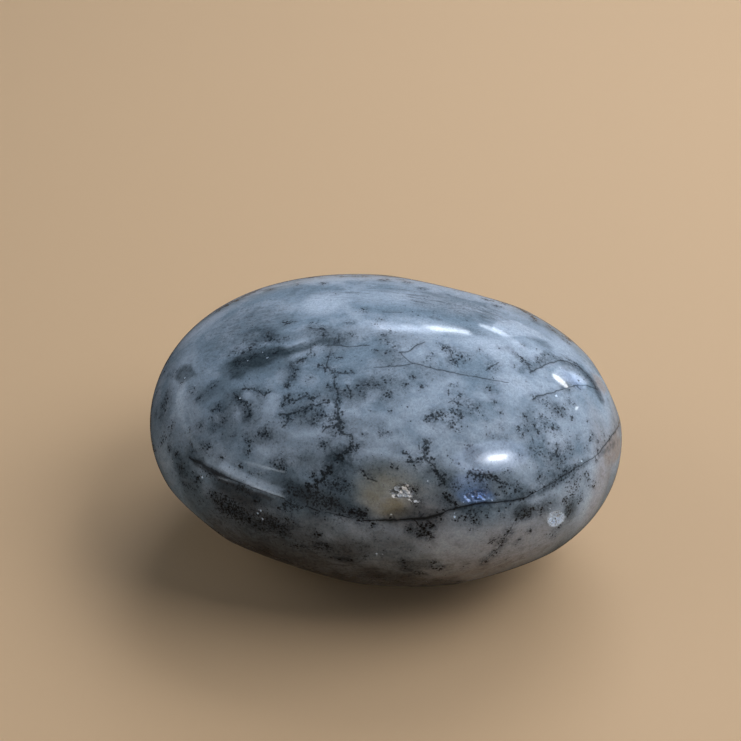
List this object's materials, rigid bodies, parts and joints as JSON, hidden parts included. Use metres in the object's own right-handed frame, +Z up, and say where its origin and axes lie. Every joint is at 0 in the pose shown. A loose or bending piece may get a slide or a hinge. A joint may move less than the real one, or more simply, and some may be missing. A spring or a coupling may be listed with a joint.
{
  "type": "polished dendritic opal palm stone",
  "caption": "Polished oval palm stone of milky blue-grey opal with dark dendritic inclusions, resting on a small flat.",
  "frame": {"origin": "on the small resting flat under the middle of the stone", "axes": "+X along the stone's length towards its narrower end, +Z up from the resting flat, -Y towards the side with the open pits"},
  "size_m": [0.062, 0.0464, 0.0357],
  "materials": {
    "opal": "high polish, vitreous"
  },
  "bodies": {
    "root": {"dendritic_opal": "opal"}
  },
  "joints": []
}
